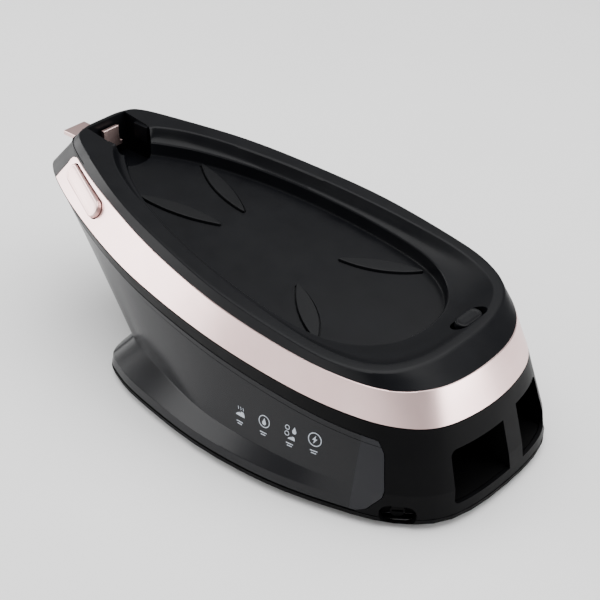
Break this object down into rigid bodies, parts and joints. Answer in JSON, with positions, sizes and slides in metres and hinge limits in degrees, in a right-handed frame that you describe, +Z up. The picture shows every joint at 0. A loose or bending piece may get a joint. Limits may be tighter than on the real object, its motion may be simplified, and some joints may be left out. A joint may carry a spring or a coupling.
{
  "type": "steam iron station",
  "caption": "steam iron base station: boat-shaped body with sloped iron rest, lift-off smoked water tank, release button, carry-lock slider, heel catch, cord and hose bays",
  "frame": {"origin": "on the ground, under the middle of the overall length and width", "axes": "+X towards the wide rear end with the cord and hose bays, -X towards the nose, +Z up, -Y is the side with the release button"},
  "size_m": [0.394, 0.2054, 0.136],
  "materials": {
    "black": "fine satin grain",
    "black_gloss": "glossy",
    "rose_gold": "satin pale rose gold lacquer",
    "rose_gold_button": "satin pale rose gold lacquer, a touch darker",
    "smoked": "glossy, smoked see-through grey",
    "silicone": "matt silicone",
    "rubber": "matt",
    "steel": "satin",
    "aluminium": "as cast",
    "brass": "machined",
    "white": "satin moulded",
    "copper": "enamelled copper wire",
    "board": "solder-resist green"
  },
  "bodies": {
    "station": {"top_tray": "black", "housing_deck": "black", "rear_housing": "black", "base_pan": "black", "storage_liner": "black", "trim_band": "rose_gold", "rest_pad_1": "silicone", "rest_pad_2": "silicone", "rest_pad_3": "silicone", "rest_pad_4": "silicone", "dock_seal": "silicone", "boiler_gasket": "silicone", "suction_hose": "silicone", "pressure_hose": "silicone", "drain_seal": "silicone", "drain_tube": "silicone", "steam_hose_gland": "rubber", "mains_gland": "rubber", "foot_1": "rubber", "foot_2": "rubber", "foot_3": "rubber", "foot_4": "rubber", "heel_catch_spring": "steel", "button_spring": "steel", "heating_element": "steel", "thermal_fuse": "steel", "base_screw_1": "steel", "base_screw_2": "steel", "base_screw_3": "steel", "base_screw_4": "steel", "boiler_lower": "aluminium", "boiler_upper": "aluminium", "heat_shield": "aluminium", "steam_valve": "brass", "pump_coil": "copper", "control_board": "board", "dock_spigot": "white", "inner_frame": "white", "thermostat": "white", "pump_body": "white", "terminal_block": "white"},
    "tank": {"water_tank": "smoked", "tank_lid": "smoked", "tank_outlet_valve": "silicone"},
    "filler_cap": {"tank_filler_cap": "rubber"},
    "release": {"release_button": "rose_gold_button", "tank_latch": "white"},
    "lock_slider": {"carry_lock_slider": "rose_gold_button"},
    "catch": {"heel_catch": "black_gloss"},
    "drain": {"drain_plug": "black"}
  },
  "joints": [
    {"name": "tank_pull", "type": "slide", "parent": "station", "child": "tank", "axis": [-1, 0, 0], "range_m": [0, 0.25]},
    {"name": "filler_cap_lift", "type": "slide", "parent": "tank", "child": "filler_cap", "axis": [0, 0, 1], "range_m": [0, 0.008]},
    {"name": "release_press", "type": "slide", "parent": "station", "child": "release", "axis": [0.2559, 0.8047, -0.5358], "range_m": [0, 0.0025], "stiffness_N_per_m": 500, "springref_m": -0.004, "deforming": ["button_spring"]},
    {"name": "carry_lock_slide", "type": "slide", "parent": "station", "child": "lock_slider", "axis": [1, 0, 0], "range_m": [0, 0.01]},
    {"name": "heel_catch_press", "type": "slide", "parent": "station", "child": "catch", "axis": [0, 0, -1], "range_m": [0, 0.002], "stiffness_N_per_m": 600, "springref_m": -0.003, "deforming": ["heel_catch_spring"]},
    {"name": "drain_plug_turn", "type": "hinge", "parent": "station", "child": "drain", "pos_m": [0.1675, -0.0715, 0.0104], "axis": [0.6198, -0.7848, 0], "range_deg": [0, 90]}
  ]
}
